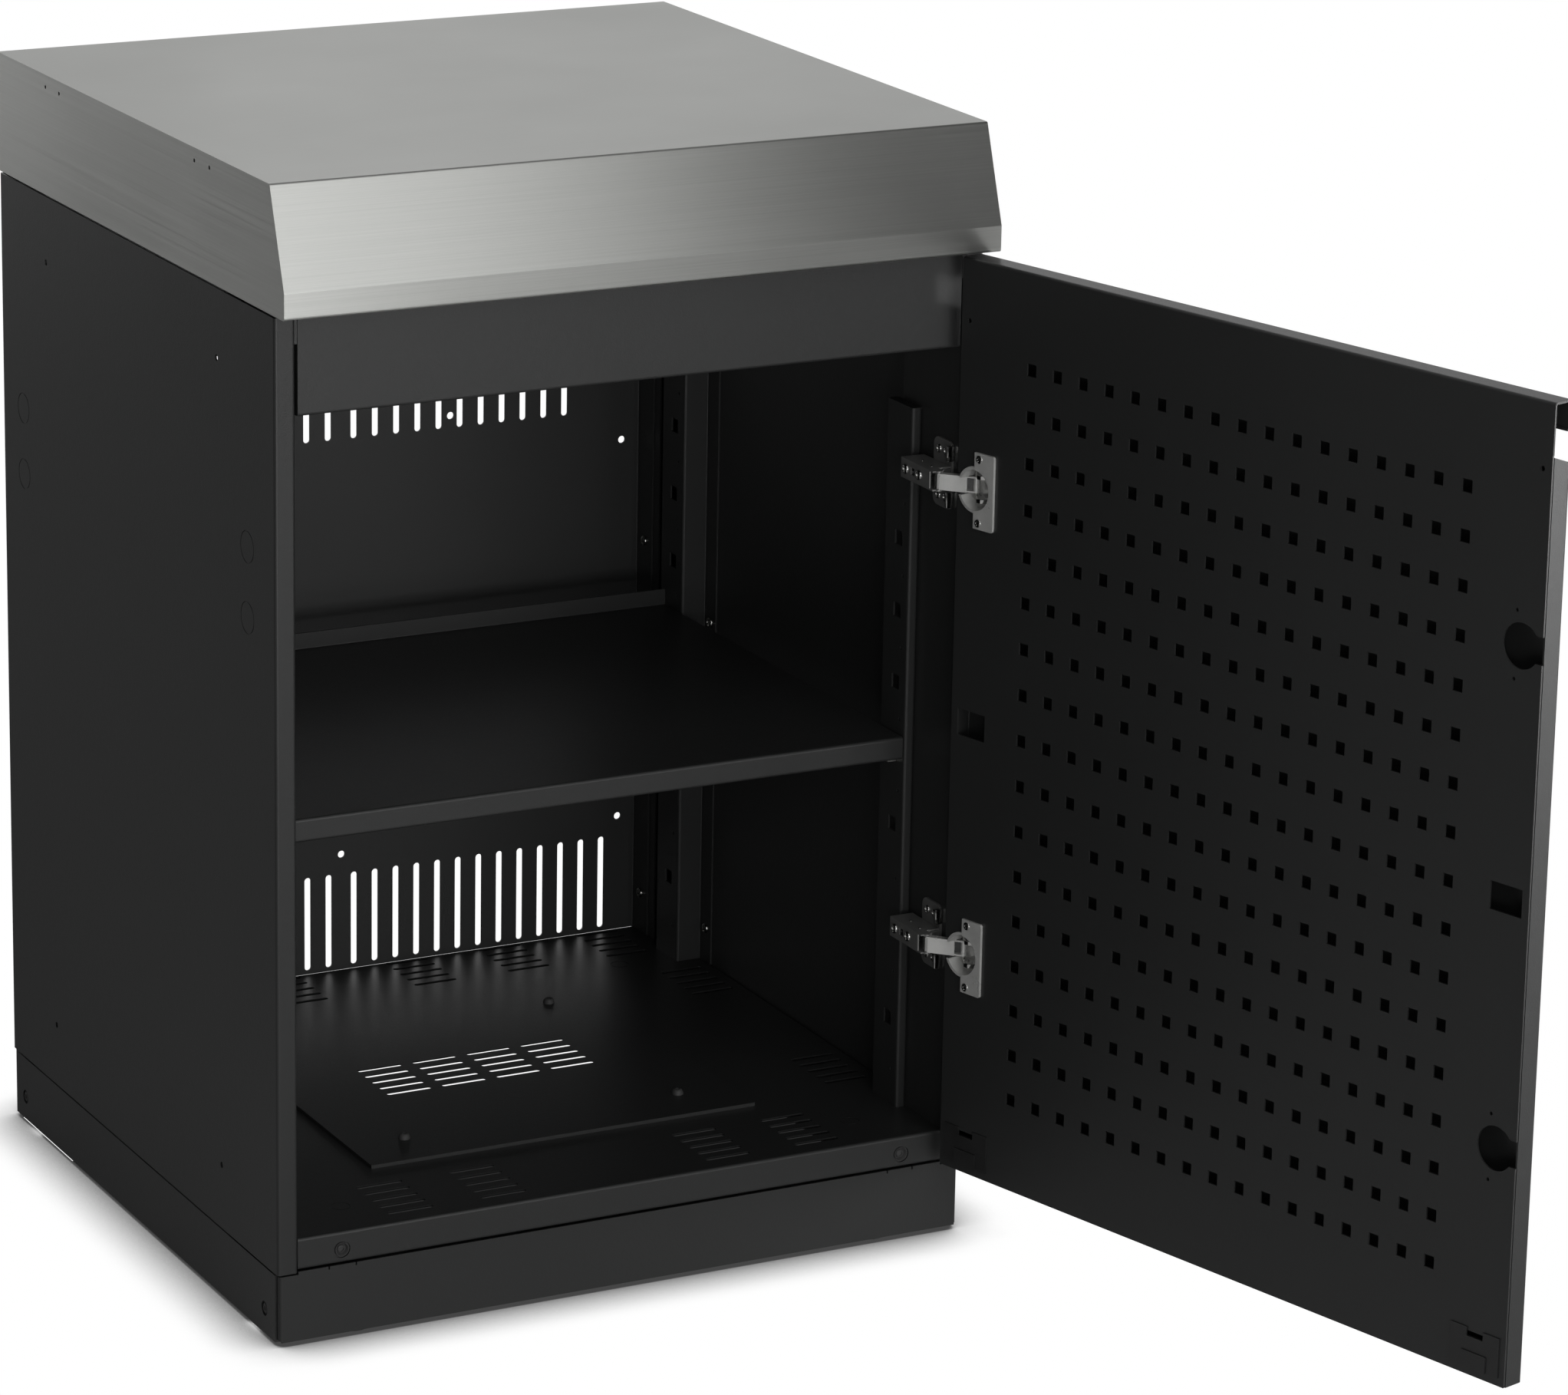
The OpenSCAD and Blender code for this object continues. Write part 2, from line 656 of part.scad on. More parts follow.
// Hooked clips in the square holes of the uprights, under the shelf's folded sides.
module shelf_clips() color(nickel) from_corner() both_sides() for (y = [up_front_y, up_rear]) {
  cy = y + up_d * 0.45;
  blk([up_x - sheet - 2, cy - 4, clip_z], [up_x, cy + 4, clip_z + clip_h - 2]);
  blk([up_x - sheet - 2, cy - 4, clip_z], [up_x - sheet, cy + 4, clip_z + square + 3]);
  blk([up_x, cy - 5, clip_z], [up_x + 8, cy + 5, clip_z + clip_h]);
}

// Worktop: one sheet folded round the slope, with welded ends and an inward front return.
module worktop_shell() color(steel) from_corner() difference() {
  path = [
    [body_d - 2, top_z0], [body_d - 2, top_z1],
    [-top_front + (top_h - top_lip) * tan(slope_a), top_z1],
    [-top_front, top_z0 + top_lip], [-top_front, top_z0], [-top_front + 14, top_z0]
  ];
  union() {
    folded_across(path, -top_side, body_w + top_side);
    for (x = [-top_side, body_w + top_side - sheet]) translate([x, 0, 0]) rotate([90, 0, 90]) {
      linear_extrude(height = sheet) polygon(face(path, 0));
    }
  }
  both_sides() bracket_holes(top_z1 - 10);
}

// The screw holes of the brackets on one side, at one height.
module bracket_holes(z) {
  for (y = bracket_ys, d = [19, bracket_w - 13]) {
    translate([-top_side - sheet, y + d, z]) along_x() cylinder(r = 1.6, h = 10);
  }
}

// Folded and joggled brackets, screwed to the side panels, that carry the worktop.
module worktop_brackets() color(powder) from_corner() both_sides() difference() {
  skirt_x = sheet - top_side;
  for (y = bracket_ys) folded_back([
    [24, top_in], [skirt_x, top_in], [skirt_x, side_z1 + 12], [sheet, side_z1 + 6], [sheet, side_z1 - 40]
  ], y, y + bracket_w);
  bracket_holes(top_z1 - 10);
  for (y = bracket_ys, d = [19, bracket_w - 13]) {
    translate([0, y + d, side_z1 - 20]) along_x() cylinder(r = screw_r + 0.1, h = 10);
  }
}

// Screws through the lower legs of the worktop brackets.
module worktop_screws() color(nickel) from_corner() both_sides() {
  for (y = bracket_ys, d = [19, bracket_w - 13]) {
    translate([2 * sheet, y + d, side_z1 - 20]) against_x() pan_screw(screw_r, sheet, 4.5, 2);
  }
}

// Two hat-section stiffeners under the worktop.
module worktop_stiffeners() color(powder) from_corner() for (x = [stiff_x, body_w - stiff_x - stiff_w]) {
  z = top_in - stiff_h;
  x1 = x + stiff_w;
  folded_back([
    [x1, top_in - sheet], [x1 - 14, top_in - sheet], [x1 - 14, z], [x + 14, z], [x + 14, top_in - sheet], [x, top_in - sheet]
  ], 30, body_d - 16);
}

// Door's inner panel: perforated sheet, hinge cut-outs and hooked grip rail.
module door_inner_panel() color(powder) door_frame() difference() {
  union() {
    folded_across([
      [door_t - 5.5, door_z1 - grip_lip], [door_t, door_z1 - grip_lip], [door_t, door_z1],
      [0, door_z1], [0, door_z0 + sheet]
    ], 0, door_w);
    both_edges() blk([sheet, 0, door_z0 + sheet], [2 * sheet, 10, skin_z1 - 4]);
  }
  both_edges() blk([-1, -1, door_z0], [0.3, 2 * sheet, skin_z1 + 8]);
  for (i = [0:perf_n - 1], k = [0:perf_n - 1]) {
    s = door_w / 2 + (i - (perf_n - 1) / 2) * perf_px;
    z = perf_z + k * perf_pz;
    blk([s - perf_s / 2, -sheet, z - perf_s / 2], [s + perf_s / 2, 2 * sheet, z + perf_s / 2]);
  }
  both_edges() {
    for (z = hinge_zs) translate([0, 0, z]) {
      translate([cup_c, -sheet, 0]) along_y() cylinder(r = cup_r, h = 6);
      blk([-1, -sheet, -cup_notch], [cup_c, 12, cup_notch]);
      for (d = cup_screw_zs) translate([cup_screw_s, -sheet, d]) along_y() cylinder(r = cup_screw_r, h = 3 * sheet);
    }
    blk([7, -sheet, door_mid - grip_h / 2], [7 + grip_w, 2 * sheet, door_mid + grip_h / 2]);
    translate([corner_s + corner_w / 2, 0, door_z0 + corner_s]) {
      blk([-corner_cut / 2, -sheet, 6], [corner_cut / 2, 2 * sheet, corner_h - 2.5]);
    }
    translate([9, -sheet, skin_z1 - 3]) along_y() cylinder(r = 2, h = 3 * sheet);
  }
}

// Door's outer skin: face, side returns, bottom return and slanted top return.
module door_skin() color(powder) door_frame() difference() {
  union() {
    folded_up([[door_w, 2], [door_w, door_t], [0, door_t], [0, 2]], door_z0, skin_z1 + 8);
    blk([sheet / 2, 0, door_z0], [door_w - sheet / 2, door_t - sheet / 2, door_z0 + sheet]);
    translate([sheet / 2, 0, 0]) rotate([90, 0, 90]) linear_extrude(height = door_w - sheet) polygon([
      [sheet, skin_z1 + 6.5], [sheet, skin_z1 + 6.5 - sheet], [door_t - sheet / 2, skin_z1 - sheet], [door_t - sheet / 2, skin_z1]
    ]);
  }
  translate([-1, 0, 0]) rotate([90, 0, 90]) linear_extrude(height = door_w + 2) polygon([
    [0, skin_z1 + 7], [door_t, skin_z1], [door_t + 1, skin_z1], [door_t + 1, skin_z1 + 9], [0, skin_z1 + 9]
  ]);
  for (z = hinge_zs) blk([-1, 0, z - cup_notch], [2 * sheet, door_t - 2.5, z + cup_notch]);
}

// Cover plates over the cut-outs in the door's lower corners.
module door_corner_plates() color(black) door_frame() both_edges() translate([corner_s, 0, door_z0 + corner_s + 0.5]) {
  middle = corner_w / 2;
  difference() {
    blk([0, -1, 0], [corner_w, 0, corner_h]);
    blk([middle - 8, -2, corner_h - 7], [middle + 8, 1, corner_h + 1]);
  }
  blk([middle - 12, -2, 0], [middle + 12, -1, corner_h * 0.41]);
  blk([middle - corner_cut / 2 + 0.2, 0, 5.7], [middle + corner_cut / 2 - 0.2, 1.2, corner_h - 7]);
}

// Winged mounting plate on the right post, with a raised seat and bent front tabs.
module hinge_plate(z) color(nickel) from_corner() translate([post_in, 0, z]) difference() {
  union() {
    translate([-plate_t, 23, 0]) rotate([0, 90, 0]) round_plate(plate_h, 30, 7, plate_t);
    blk([-9, 10, -link_h], [0, 56, link_h]);
    for (s = [-1, 1]) blk([-6, 8, s * plate_screw_z - 6], [0, 10, s * plate_screw_z + 6]);
  }
  for (s = [-1, 1], y = plate_screw_ys) {
    translate([-2 * plate_t, y, s * plate_screw_z]) along_x() cylinder(r = screw_r, h = 4 * plate_t);
  }
  for (y = arm_screw_ys) translate([-10, y, 0]) along_x() cylinder(r = 2.5, h = 8);
}

module hinge_plate_upper() hinge_plate(hinge_z1);
module hinge_plate_lower() hinge_plate(hinge_z0);

// Screws that hold the mounting plates to the post.
module hinge_plate_screws() color(nickel) from_corner() for (z = hinge_zs, s = [-1, 1], y = plate_screw_ys) {
  translate([post_in - plate_t, y, z + s * plate_screw_z]) along_x() pan_screw(screw_r, plate_t, 3.6, 1.5);
}

// Hinge arm: channel over the plate's seat, with eyes for the pivot pin.
module hinge_arm(z) color(nickel) from_corner() translate([arm_at, 0, z]) difference() {
  eye_x = pivot_at - arm_at;
  union() {
    for (h = [-arm_h, arm_h - 1.2]) translate([0, 0, h]) {
      blk([0, 10, 0], [post_in - plate_t - arm_at, 54, 1.2]);
      blk([0, pivot_y - 0.5, 0], [eye_x + 4, 10, 1.2]);
      translate([eye_x, pivot_y, 0]) cylinder(r = eye_r, h = 1.2);
    }
    blk([0, pivot_y + 5, -arm_h], [1.4, 54, arm_h]);
  }
  translate([eye_x, pivot_y, -arm_h - 1]) cylinder(r = pin_r, h = 2 * arm_h + 2);
  for (y = arm_screw_ys) translate([-1, y, 0]) along_x() cylinder(r = 2.6, h = 4);
  blk([-1, 32, -3], [2, 38, 3]);
}

module hinge_arm_upper() hinge_arm(hinge_z1);
module hinge_arm_lower() hinge_arm(hinge_z0);

// Adjusting and clamping screws of the arms.
module hinge_arm_screws() color(nickel) from_corner() for (z = hinge_zs, y = arm_screw_ys) {
  translate([arm_at, y, z]) along_x() pan_screw(2.5, 17, 4.2, 1.6);
}

// Pivot pins in the arms.
module hinge_arm_pins() color(nickel) from_corner() for (z = hinge_zs) {
  translate([pivot_at, pivot_y, z - arm_h]) cylinder(r = pin_r, h = 2 * arm_h);
}

// Link: two cheeks joined by a web, with a sleeve round each pin.
module hinge_link(z) color(steel) link_frame(z) difference() {
  r = eye_r - 0.6;
  union() {
    for (s = [-link_h, link_h - 1.3]) blk([0, -r, s], [link_l, r, s + 1.3]);
    for (x = [0, link_l]) translate([x, 0, -link_h]) cylinder(r = r, h = 2 * link_h);
    blk([1.5, -r - 1.1, -link_h], [link_l - 7, -r + 0.2, link_h]);
  }
  for (x = [0, link_l]) translate([x, 0, -link_h - 1]) cylinder(r = pin_r + pin_gap, h = 2 * link_h + 2);
}

module hinge_link_upper() hinge_link(hinge_z1);
module hinge_link_lower() hinge_link(hinge_z0);

// Hinge cup: bored shell with a notch for the link and a flange on the panel.
module hinge_cup(z) color(steel) door_frame() translate([0, 0, z]) difference() {
  union() {
    translate([cup_c, 0, 0]) along_y() cylinder(r = cup_r, h = cup_depth);
    translate([cup_c, -1.2, 0]) along_y() cylinder(r = cup_rim, h = 1.2);
    blk([cup_c, -2, -31], [cup_c + flange_w - 2, 0, 31]);
    blk([cup_c, -2, -28], [cup_c + flange_w, 0, 28]);
    for (z = [-29, 29]) translate([cup_c + flange_w - 2, 0, z]) against_y() cylinder(r = 2, h = 2);
  }
  translate([cup_c, -3, 0]) along_y() cylinder(r = cup_r - 1, h = cup_depth + 2.2);
  blk([-1, -3, -cup_slot], [cup_s, cup_depth - 0.8, cup_slot]);
  translate([cup_s, cup_n, -cup_pin_h]) cylinder(r = pin_r, h = 2 * cup_pin_h);
  for (d = cup_screw_zs) translate([cup_screw_s, -3, d]) along_y() cylinder(r = cup_screw_r, h = 4);
}

module hinge_cup_upper() hinge_cup(hinge_z1);
module hinge_cup_lower() hinge_cup(hinge_z0);

// Screws through the cup flanges.
module hinge_cup_screws() color(nickel) door_frame() for (z = hinge_zs, d = cup_screw_zs) {
  translate([cup_screw_s, -2, z + d]) along_y() pan_screw(cup_screw_r, 8, 3.4, 0.8);
}

// Pivot pins in the cups.
module hinge_cup_pins() color(nickel) door_frame() for (z = hinge_zs) {
  translate([cup_s, cup_n, z - cup_pin_h]) cylinder(r = pin_r, h = 2 * cup_pin_h);
}

side_panel_left();
side_panel_right();
back_panel();
fascia_rail();
floor_pan();
floor_tray();
tray_screws();
plinth();
plinth_back();
plinth_side_left();
plinth_side_right();
plinth_screws();
lip_screws();
foot_front_left();
foot_front_right();
foot_rear_left();
foot_rear_right();
upright_front_left();
upright_front_right();
upright_rear_left();
upright_rear_right();
upright_screws();
back_panel_screws();
shelf();
shelf_clips();
worktop_shell();
worktop_stiffeners();
worktop_brackets();
worktop_screws();
door_inner_panel();
door_skin();
door_corner_plates();
hinge_plate_upper();
hinge_plate_lower();
hinge_plate_screws();
hinge_arm_upper();
hinge_arm_lower();
hinge_arm_screws();
hinge_arm_pins();
hinge_link_upper();
hinge_link_lower();
hinge_cup_upper();
hinge_cup_lower();
hinge_cup_screws();
hinge_cup_pins();
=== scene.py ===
"""Outdoor kitchen cabinet: finishes, small fasteners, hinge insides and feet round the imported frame."""

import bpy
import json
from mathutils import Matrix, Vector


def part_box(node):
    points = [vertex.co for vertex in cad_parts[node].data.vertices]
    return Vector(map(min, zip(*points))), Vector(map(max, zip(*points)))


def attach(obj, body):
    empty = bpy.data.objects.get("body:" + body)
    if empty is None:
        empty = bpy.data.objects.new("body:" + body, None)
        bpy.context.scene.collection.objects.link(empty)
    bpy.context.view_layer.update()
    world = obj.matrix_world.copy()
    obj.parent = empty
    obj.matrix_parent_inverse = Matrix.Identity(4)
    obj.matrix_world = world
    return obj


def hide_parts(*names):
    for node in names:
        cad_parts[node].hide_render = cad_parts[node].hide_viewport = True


bl_info = {
    "name": "Outdoor Kitchen Cabinet",
    "version": (1, 0, 0),
    "blender": (4, 5, 0),
    "location": "3D View > Sidebar > Cabinet",
    "description": "Finishes and details a sheet steel kitchen cabinet for outdoors",
    "category": "Object",
}

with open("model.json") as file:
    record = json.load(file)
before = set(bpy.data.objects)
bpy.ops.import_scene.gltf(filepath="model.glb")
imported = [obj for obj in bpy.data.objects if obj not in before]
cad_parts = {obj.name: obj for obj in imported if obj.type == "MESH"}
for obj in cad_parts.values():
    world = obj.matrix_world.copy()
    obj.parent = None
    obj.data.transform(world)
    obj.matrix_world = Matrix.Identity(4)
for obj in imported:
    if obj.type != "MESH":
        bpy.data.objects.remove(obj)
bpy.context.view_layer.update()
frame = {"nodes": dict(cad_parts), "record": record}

import json
import math

import bpy
import numpy as np
from bpy.props import FloatProperty, FloatVectorProperty, IntProperty, PointerProperty
from mathutils import Matrix, Vector

RECORD = frame["record"]
SLOT_OF = {part["node"]: part["material_slot"] for part in RECORD["subparts"]}
BODY_OF = {node: body for body, nodes in RECORD["behaviour"]["bodies"].items() for node in nodes}

SIDES = (-1, 1)
ENDS = ("lower", "upper")
FEET = ("foot_front_left", "foot_front_right", "foot_rear_left", "foot_rear_right")

# Directions on the right half of the cabinet: on the left half, inward and outward are mirrored
INWARD = (-1, 0, 0)
OUTWARD = (1, 0, 0)
FORWARD = (0, -1, 0)
UP = (0, 0, 1)

# Hinge edge of the open door's inner face, and its directions along and into the door
DOOR_TURN = math.radians(-75.15)
DOOR_CORNER = (0.276498, -0.302850)
DOOR_ALONG = (math.cos(DOOR_TURN), math.sin(DOOR_TURN))
DOOR_INTO = (-DOOR_ALONG[1], DOOR_ALONG[0])

# Size of the photograph in pixels, which the camera's frame follows
PHOTO_WIDTH = 2044
PHOTO_HEIGHT = 1818


# Sizes, colours and light that a user would change


class CabinetFinishes(bpy.types.PropertyGroup):
    """Colours of the finishes."""

    powder: FloatVectorProperty(
        name="Powder coat",
        description="Colour of the coated sheet",
        subtype="COLOR",
        default=(0.018, 0.0185, 0.0183),
    )
    steel: FloatVectorProperty(
        name="Brushed steel",
        description="Colour of the worktop",
        subtype="COLOR",
        default=(0.48, 0.485, 0.468),
    )
    nickel: FloatVectorProperty(
        name="Dark nickel",
        description="Colour of the hinge arms and plates",
        subtype="COLOR",
        default=(0.22, 0.22, 0.215),
    )
    bright: FloatVectorProperty(
        name="Bright nickel",
        description="Colour of the hinge cups and links",
        subtype="COLOR",
        default=(0.60, 0.60, 0.585),
    )
    zinc: FloatVectorProperty(
        name="Zinc",
        description="Colour of the screws",
        subtype="COLOR",
        default=(0.36, 0.36, 0.34),
    )
    plastic: FloatVectorProperty(
        name="Black plastic",
        description="Colour of the caps and cover plates",
        subtype="COLOR",
        default=(0.013, 0.013, 0.013),
    )
    rubber: FloatVectorProperty(
        name="Rubber",
        description="Colour of the feet",
        subtype="COLOR",
        default=(0.012, 0.012, 0.012),
    )


class CabinetFasteners(bpy.types.PropertyGroup):
    """Sizes of the screws, the hinge insides and the feet."""

    recess: FloatProperty(
        name="Recess",
        description="Depth of the cross recesses",
        unit="LENGTH",
        default=0.0009,
    )
    socket: FloatProperty(
        name="Socket",
        description="Half width of the hexagon sockets",
        unit="LENGTH",
        default=0.0017,
    )
    lever: FloatProperty(
        name="Lever",
        description="Thickness of the levers in the hinge cups",
        unit="LENGTH",
        default=0.0014,
    )
    pitch: FloatProperty(
        name="Thread pitch",
        description="Pitch of the feet's studs",
        unit="LENGTH",
        default=0.00125,
    )
    ribs: IntProperty(name="Ribs", description="Grip ribs round each foot", default=20)


class CabinetStudio(bpy.types.PropertyGroup):
    """Floor, light and camera."""

    floor: FloatVectorProperty(
        name="Floor",
        description="Colour of the studio floor",
        subtype="COLOR",
        default=(0.86, 0.86, 0.86),
    )
    ambient: FloatProperty(
        name="Ambient",
        description="Strength of the studio's even light",
        default=0.06,
    )
    key: FloatProperty(
        name="Key",
        description="Power of the far lamp in front",
        unit="POWER",
        default=142,
    )
    front: FloatProperty(
        name="Front",
        description="Power of the wide lamp in front",
        unit="POWER",
        default=20.5,
    )
    over: FloatProperty(
        name="Overhead",
        description="Power of the lamp over the front floor",
        unit="POWER",
        default=24,
    )
    rear: FloatProperty(
        name="Rear",
        description="Power of the lamp behind and to the right",
        unit="POWER",
        default=3,
    )
    edge: FloatProperty(
        name="Edge",
        description="Power of the lamp behind and to the left",
        unit="POWER",
        default=2.0,
    )
    side: FloatProperty(
        name="Side",
        description="Power of the lamp at the right",
        unit="POWER",
        default=28,
    )
    azimuth: FloatProperty(
        name="Camera azimuth",
        description="Camera's turn to the left",
        subtype="ANGLE",
        default=math.radians(-27.35),
    )
    elevation: FloatProperty(
        name="Camera elevation",
        description="Camera's view down",
        subtype="ANGLE",
        default=math.radians(15.52),
    )
    roll: FloatProperty(
        name="Camera roll",
        description="Camera's tilt",
        subtype="ANGLE",
        default=math.radians(0.94),
    )


# Node materials


class Tree:
    """A shader's node tree, with short ways to add a node and a step of arithmetic."""

    def __init__(self, tree):
        self.tree = tree

    def node(self, kind, inputs=None, **settings):
        """Adds a node, sets its settings, and feeds each named or numbered input a socket or a value."""
        made = self.tree.nodes.new(kind)
        for setting, value in settings.items():
            setattr(made, setting, value)
        for socket, value in (inputs or {}).items():
            if isinstance(value, bpy.types.NodeSocket):
                self.tree.links.new(value, made.inputs[socket])
            else:
                made.inputs[socket].default_value = value
        return made

    def span(self, value, low, high, start=0.0, end=1.0):
        """value from start to end, put onto low to high."""
        values = {"Value": value, "From Min": start, "From Max": end, "To Min": low, "To Max": high}
        return self.node("ShaderNodeMapRange", values).outputs["Result"]

    def math(self, operation, first, second=0.0):
        """One arithmetic step."""
        return self.node("ShaderNodeMath", {0: first, 1: second}, operation=operation).outputs[0]


class Recipe(Tree):
    """A node material: its Principled shader, its Object coordinates and the patterns that it uses."""

    def __init__(self, name, colour, **values):
        self.material = bpy.data.materials.new(name)
        self.material.use_nodes = True
        super().__init__(self.material.node_tree)
        self.shader = self.tree.nodes["Principled BSDF"]
        self.place = self.node("ShaderNodeTexCoord").outputs["Object"]
        self.shader.inputs["Base Color"].default_value = (*colour, 1)
        for socket, value in values.items():
            self.shader.inputs[socket].default_value = value

    def stretched(self, scale):
        """Object coordinates, scaled along X, Y and Z."""
        return self.node("ShaderNodeMapping", {"Vector": self.place, "Scale": scale}).outputs["Vector"]

    def noise(self, scale, detail=2.0, roughness=0.5, vector=None):
        """Soft noise from 0 to 1, with scale cells to a metre."""
        values = {"Vector": vector or self.place, "Scale": scale, "Detail": detail, "Roughness": roughness}
        return self.node("ShaderNodeTexNoise", values).outputs["Fac"]

    def tint(self, value, colour, low, high):
        """colour, darker and lighter with value, from low to high times itself, into the shader."""
        dark = (*(low * c for c in colour), 1)
        light = (*(min(1.0, high * c) for c in colour), 1)
        mixed = self.node("ShaderNodeMix", {"Factor": value, 6: dark, 7: light}, data_type="RGBA")
        self.feed("Base Color", mixed.outputs[2])

    def bump(self, height, depth, strength=1.0, under=None):
        """A relief of height times depth in metres, over another relief if there is one."""
        values = {"Height": height, "Distance": depth, "Strength": strength}
        if under is not None:
            values["Normal"] = under
        return self.node("ShaderNodeBump", values).outputs["Normal"]

    def feed(self, socket, output):
        """Links an output to one of the shader's sockets."""
        self.tree.links.new(output, self.shader.inputs[socket])


def powder_coat(colour):
    """Matt black powder coat: a fine orange peel over slow waves, and faint cloudy changes of colour."""
    coat = Recipe("powder_coat", colour, IOR=1.45)
    peel = coat.noise(780, detail=3.0, roughness=0.55)
    waves = coat.noise(170, detail=1.0)
    clouds = coat.noise(9, detail=3.0, roughness=0.6)
    speck = coat.noise(2300, detail=1.0)
    coat.tint(coat.math("MULTIPLY_ADD", clouds, 0.6), colour, low=0.86, high=1.12)
    coat.feed("Roughness", coat.span(speck, 0.33, 0.45, start=0.3, end=0.7))
    slow = coat.bump(waves, depth=0.0002, strength=0.25)
    coat.feed("Normal", coat.bump(peel, depth=0.00012, strength=0.6, under=slow))
    return coat.material


def brushed_steel(colour):
    """Stainless steel: streaks along X on the top and front, and along Y on the ends, gloss across them."""
    steel = Recipe("brushed_steel", colour, Metallic=1.0, Anisotropic=0.88)
    normal = steel.node("ShaderNodeNewGeometry").outputs["Normal"]
    facing = steel.node("ShaderNodeSeparateXYZ", {0: normal}).outputs["X"]
    end = steel.math("GREATER_THAN", steel.math("ABSOLUTE", facing), 0.7)
    long_cells = 4
    fine_cells = 1300
    along_x = steel.noise(1, 2.0, 0.6, steel.stretched((long_cells, fine_cells, fine_cells)))
    along_y = steel.noise(1, 2.0, 0.6, steel.stretched((fine_cells, long_cells, fine_cells)))
    streaks = steel.node("ShaderNodeMix", {"Factor": end, 2: along_x, 3: along_y}).outputs[0]
    brushing = {"Factor": end, 4: (1, 0, 0), 5: (0, 1, 0)}
    along = steel.node("ShaderNodeMix", brushing, data_type="VECTOR").outputs[1]
    across = steel.node("ShaderNodeVectorMath", {0: normal, 1: along}, operation="CROSS_PRODUCT").outputs[0]
    clouds = steel.noise(3.5, detail=3.0, roughness=0.55)
    steel.tint(streaks, colour, low=0.88, high=1.1)
    brushed = steel.span(streaks, -0.04, 0.05)
    steel.feed("Roughness", steel.math("ADD", brushed, steel.span(clouds, 0.27, 0.34)))
    steel.feed("Normal", steel.bump(streaks, depth=0.00001, strength=0.3))
    steel.feed("Tangent", across)
    return steel.material


def plated(name, colour, roughness, metallic=1.0):
    """Plated pressing: cloudy gloss, fine die lines, softened edges and a faint uneven colour."""
    metal = Recipe(name, colour, Metallic=metallic)
    clouds = metal.noise(55, detail=3.0, roughness=0.6)
    lines = metal.noise(1, 2.0, 0.5, metal.stretched((420, 420, 2600)))
    worn = metal.node("ShaderNodeBevel", {"Radius": 0.0004}, samples=4).outputs["Normal"]
    metal.tint(clouds, colour, low=0.84, high=1.14)
    metal.feed("Roughness", metal.span(clouds, roughness - 0.07, roughness + 0.09, start=0.25, end=0.75))
    metal.feed("Normal", metal.bump(lines, depth=0.00003, strength=0.3, under=worn))
    return metal.material


def moulded(name, colour, roughness, grain):
    """Moulded plastic or rubber: a fine eroded grain, with dust-dull patches."""
    form = Recipe(name, colour, IOR=1.48)
    erosion = form.noise(grain, detail=2.0, roughness=0.6)
    patches = form.noise(30, detail=2.0)
    form.tint(patches, colour, low=0.85, high=1.25)
    form.feed("Roughness", form.span(patches, roughness - 0.08, roughness + 0.1, start=0.3, end=0.7))
    form.feed("Normal", form.bump(erosion, depth=0.00012, strength=0.5))
    return form.material


# Surfaces: closed, worked out as whole arrays, in metres


def even(count):
    """Turns at even steps."""
    return np.arange(count) * 2 * np.pi / count


def walls(rings, count):
    """Outward quads between each ring of count points and the next one."""
    here = np.arange(count)
    there = np.roll(here, -1)
    rows = np.arange(rings - 1)[:, None] * count
    quads = np.stack([rows + here, rows + there, rows + count + there, rows + count + here], -1)
    return quads.reshape(-1, 4).tolist()


def revolved(radii, heights, turns):
    """A closed surface round Z: each ring's radius times the turn's cosine and sine, at the ring's height."""
    radii = np.array([np.broadcast_to(radius, turns.shape) for radius in radii], float)
    heights = np.array([np.broadcast_to(height, turns.shape) for height in heights], float)
    rings, count = radii.shape
    points = np.stack([radii * np.cos(turns), radii * np.sin(turns), heights], -1).reshape(-1, 3)
    points = np.vstack([points, (0, 0, heights[0].mean()), (0, 0, heights[-1].mean())])
    here = np.arange(count)
    there = np.roll(here, -1)
    last = (rings - 1) * count
    foot = np.stack([np.full(count, rings * count), there, here], -1)
    head = np.stack([np.full(count, rings * count + 1), last + here, last + there], -1)
    return points, [*walls(rings, count), *foot.tolist(), *head.tolist()]


def ribbon(path, thickness, low, high, chamfer=0.0003):
    """A bent strip: an upright section with chamfered edges, carried along a path in X and Y."""
    path = np.array(path, float)
    steps = np.diff(path, axis=0)
    steps /= np.linalg.norm(steps, axis=1)[:, None]
    along = np.vstack([steps[:1], steps[:-1] + steps[1:], steps[-1:]])
    along /= np.linalg.norm(along, axis=1)[:, None]
    across = np.stack([-along[:, 1], along[:, 0]], -1)
    face = thickness / 2
    edge = face - chamfer
    offset = np.array([face, face, edge, -edge, -face, -face, -edge, edge])
    height = np.array([low + chamfer, high - chamfer, high, high, high - chamfer, low + chamfer, low, low])
    flat = path[:, None, :] + across[:, None, :] * offset[None, :, None]
    upright = np.broadcast_to(height[None, :, None], flat.shape[:2] + (1,))
    points = np.concatenate([flat, upright], -1).reshape(-1, 3)
    ring = np.arange(len(offset))
    last = (len(path) - 1) * len(offset)
    return points, [*walls(len(path), len(offset)), ring[::-1].tolist(), (last + ring).tolist()]


def hexagon(half_width, turns):
    """Outline of a hexagon: its half width over the cosine of the turn from the nearest flat."""
    return half_width / np.cos((turns + np.pi / 6) % (np.pi / 3) - np.pi / 6)


# Turns to the outline of a plus sign: the corners and middle of each tip, each notch, and points between
CROSS = (np.radians([-16.7, 0, 16.7, 31, 45, 59]) + np.radians([0, 90, 180, 270])[:, None]).ravel()


